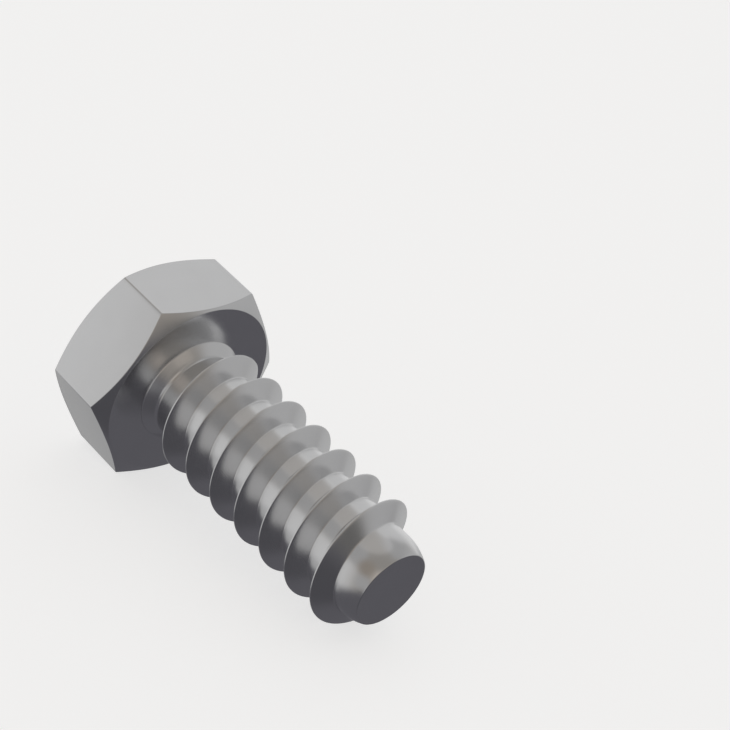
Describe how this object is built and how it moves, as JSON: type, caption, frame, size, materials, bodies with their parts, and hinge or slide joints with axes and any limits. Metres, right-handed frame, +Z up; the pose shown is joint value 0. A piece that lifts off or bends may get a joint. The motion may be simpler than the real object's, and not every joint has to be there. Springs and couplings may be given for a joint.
{
  "type": "hex head self-tapping screw",
  "caption": "Hexagon head self-tapping screw with a coarse right-hand thread and a blunt flat end, lying at rest.",
  "frame": {"origin": "centre of the flat bearing face under the head, on the screw's axis", "axes": "+X runs from the head towards the tip, +Z points up from the ground that the screw lies on. The screw lies on one flat of its head and on its last full thread, so its axis dips 6.71 degrees below +X in the XZ plane."},
  "size_m": [0.0166, 0.0092, 0.0084],
  "materials": {
    "steel": "satin plain steel, even and slightly rough"
  },
  "bodies": {
    "root": {"screw": "steel"}
  },
  "joints": []
}
